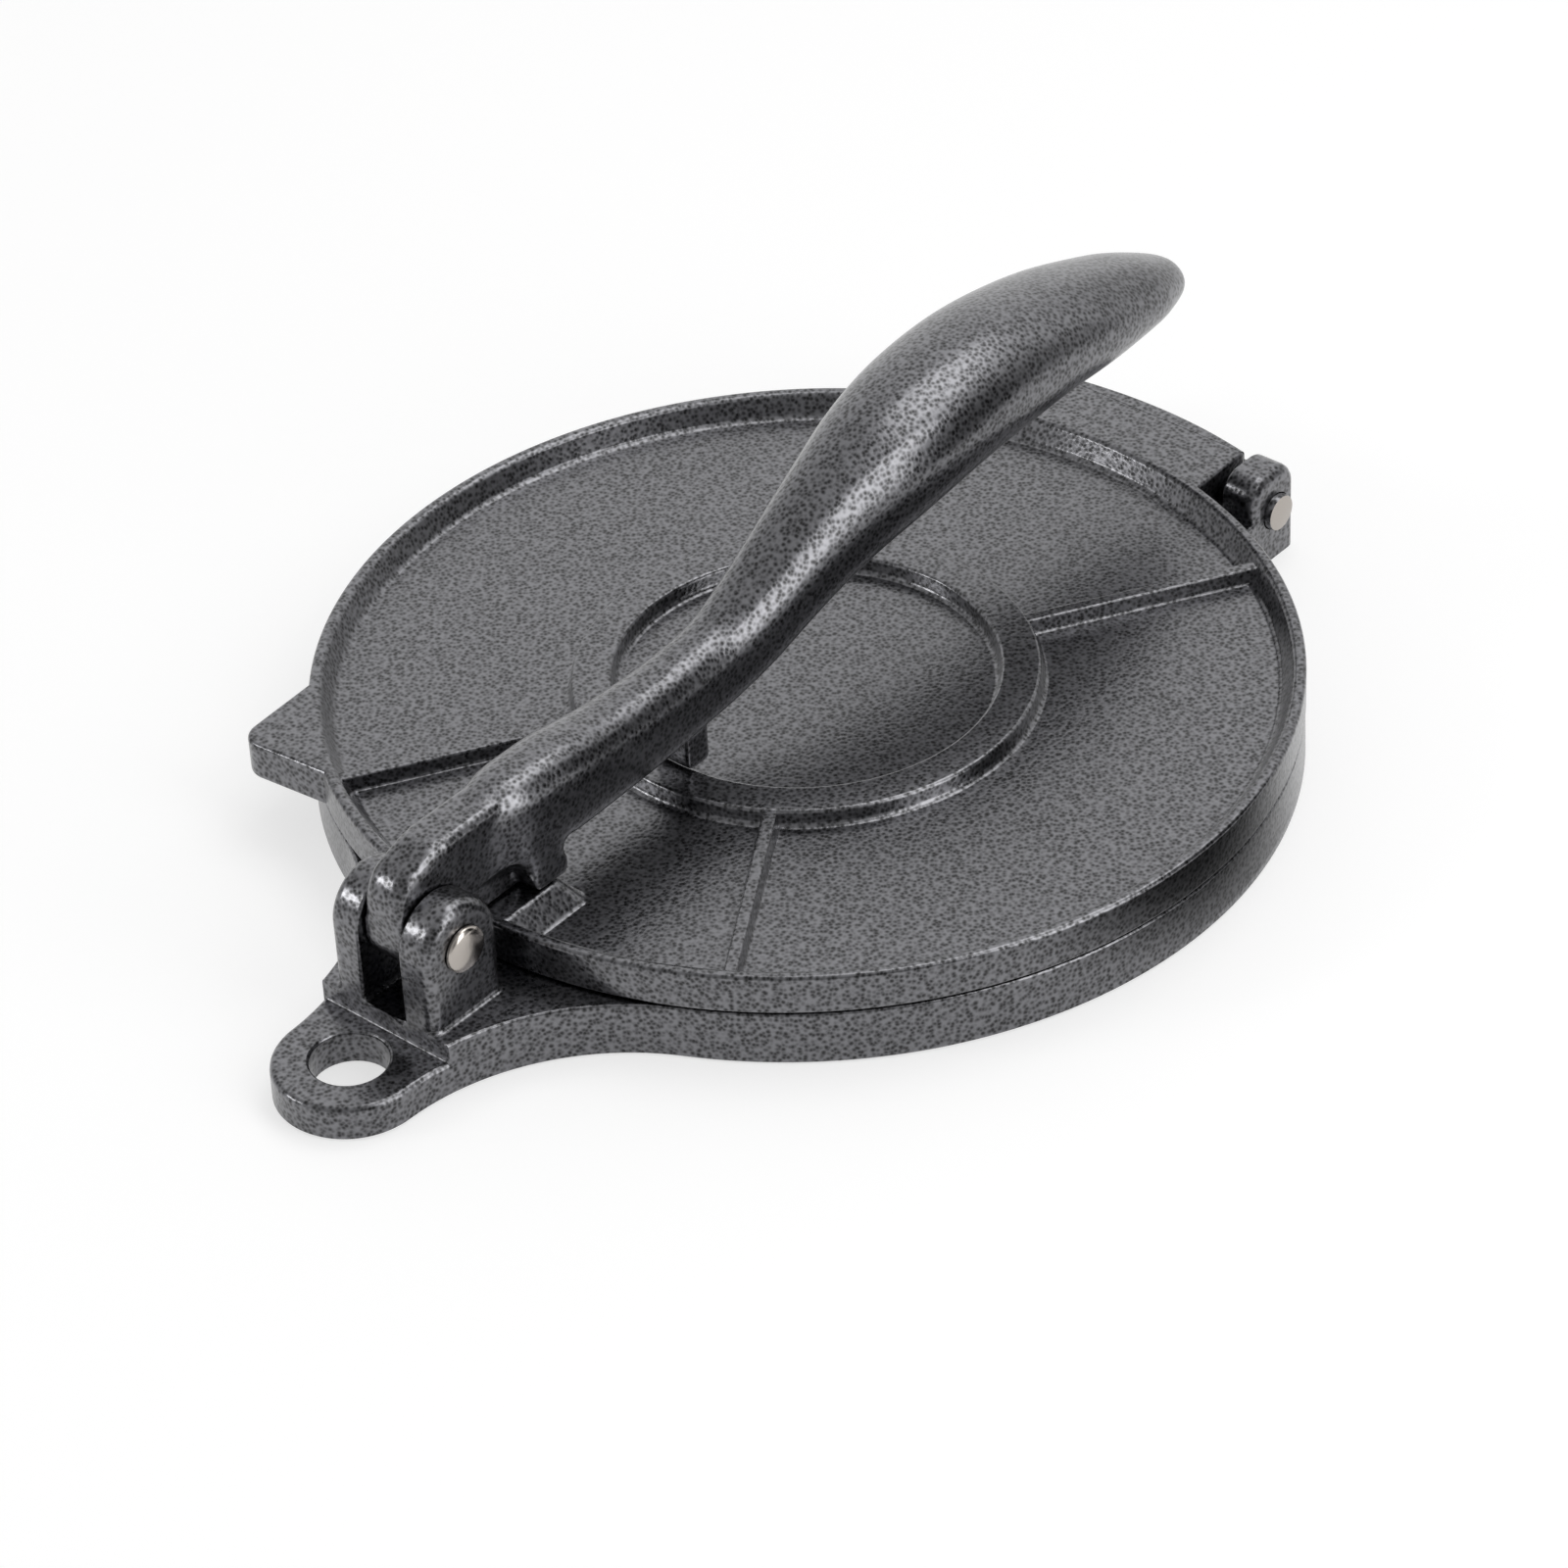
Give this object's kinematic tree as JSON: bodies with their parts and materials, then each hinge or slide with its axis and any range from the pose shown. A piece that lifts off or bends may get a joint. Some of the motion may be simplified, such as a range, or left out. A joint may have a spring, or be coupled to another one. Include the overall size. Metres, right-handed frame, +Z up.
{
  "type": "tortilla press",
  "caption": "Cast tortilla press: a round base with a hanging eye, a hinged and ribbed top plate, and a long lever on a clevis that presses the plate down.",
  "frame": {"origin": "centre of the bounding box on the table, under the press", "axes": "+Z up; +Y from the clevis and hanging eye towards the rear hinge; +X to the right seen from the clevis"},
  "size_m": [0.25, 0.3376, 0.0915],
  "materials": {
    "hammered_paint": "dark grey hammered enamel over cast iron, semi-gloss, with fine dark flecks",
    "bright_steel": "plain bright steel, lightly polished"
  },
  "bodies": {
    "base": {"base": "hammered_paint", "lever_pin": "bright_steel", "hinge_pin": "bright_steel"},
    "top_plate": {"top_plate": "hammered_paint"},
    "lever": {"lever": "hammered_paint"}
  },
  "joints": [
    {"name": "lever_swing", "type": "hinge", "parent": "base", "child": "lever", "pos_m": [0, -0.12475, 0.0345], "axis": [1, 0, 0], "range_deg": [0, 160]},
    {"name": "top_plate_hinge", "type": "hinge", "parent": "base", "child": "top_plate", "pos_m": [0, 0.15525, 0.0147], "axis": [-1, 0, 0], "range_deg": [0, 18.5]}
  ],
  "couplings": [
    {"joint": "top_plate_hinge", "follows": "lever_swing", "ratio": 0.115}
  ]
}
